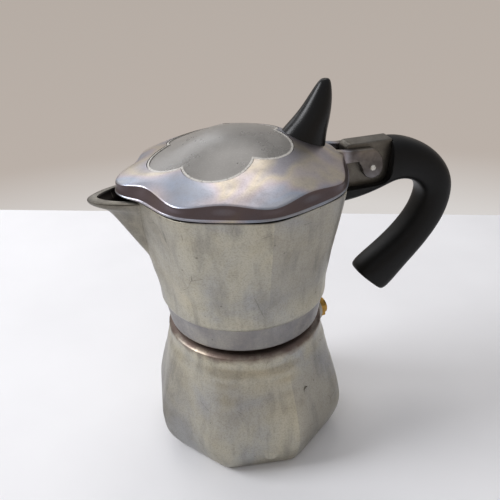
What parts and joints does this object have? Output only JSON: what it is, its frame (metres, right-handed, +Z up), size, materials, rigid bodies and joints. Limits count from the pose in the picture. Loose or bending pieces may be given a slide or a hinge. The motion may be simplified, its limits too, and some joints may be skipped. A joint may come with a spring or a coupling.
{
  "type": "moka pot",
  "caption": "Octagonal stovetop coffee pot with screw-on collector, beaked spout, hinged lid with clear panel, horn knob and C-shaped handle.",
  "frame": {"origin": "on the pot's axis, in the plane of the boiler's flat base", "axes": "+Z up along the pot's axis, +X towards the handle and lid hinge, -X towards the spout"},
  "size_m": [0.1684, 0.098, 0.1718],
  "materials": {
    "cast_aluminium": "satin cast",
    "lid_aluminium": "satin cast",
    "thin_aluminium": "satin",
    "brass": "satin",
    "spring_steel": "drawn wire",
    "pin_steel": "bright drawn",
    "screw_steel": "zinc",
    "seal_rubber": "smooth",
    "clear_panel": "clear",
    "handle_black": "satin moulded",
    "knob_black": "gloss moulded"
  },
  "bodies": {
    "boiler": {"boiler": "cast_aluminium", "valve_body": "brass", "valve_washer": "thin_aluminium", "valve_cap": "brass", "valve_spring": "spring_steel"},
    "plunger": {"valve_plunger": "brass"},
    "funnel": {"funnel": "thin_aluminium", "funnel_sieve": "thin_aluminium"},
    "seal": {"gasket": "seal_rubber", "filter_plate": "thin_aluminium"},
    "collector": {"collector": "cast_aluminium", "handle": "handle_black", "handle_screw": "screw_steel"},
    "lid": {"lid": "lid_aluminium", "lid_window": "clear_panel", "knob": "knob_black", "knob_screw": "screw_steel", "knob_washer": "screw_steel", "hinge_pin": "pin_steel"}
  },
  "joints": [
    {"name": "valve_slide", "type": "slide", "parent": "boiler", "child": "plunger", "axis": [0.9699, 0.2436, 0], "range_m": [0, 0.0014], "stiffness_N_per_m": 900, "springref_m": -0.0005, "deforming": ["valve_spring"]},
    {"name": "funnel_lift", "type": "slide", "parent": "boiler", "child": "funnel", "axis": [0, 0, 1], "range_m": [0, 0.08]},
    {"name": "collector_lift", "type": "slide", "parent": "funnel", "child": "seal", "axis": [0, 0, 1], "range_m": [0, 0.06]},
    {"name": "collector_turn", "type": "hinge", "parent": "seal", "child": "collector", "pos_m": [0, 0, 0.08], "axis": [0, 0, 1], "range_deg": [0, 720]},
    {"name": "lid_hinge", "type": "hinge", "parent": "collector", "child": "lid", "pos_m": [0.06, 0, 0.1316], "axis": [0, 1, 0], "range_deg": [0, 92]}
  ]
}
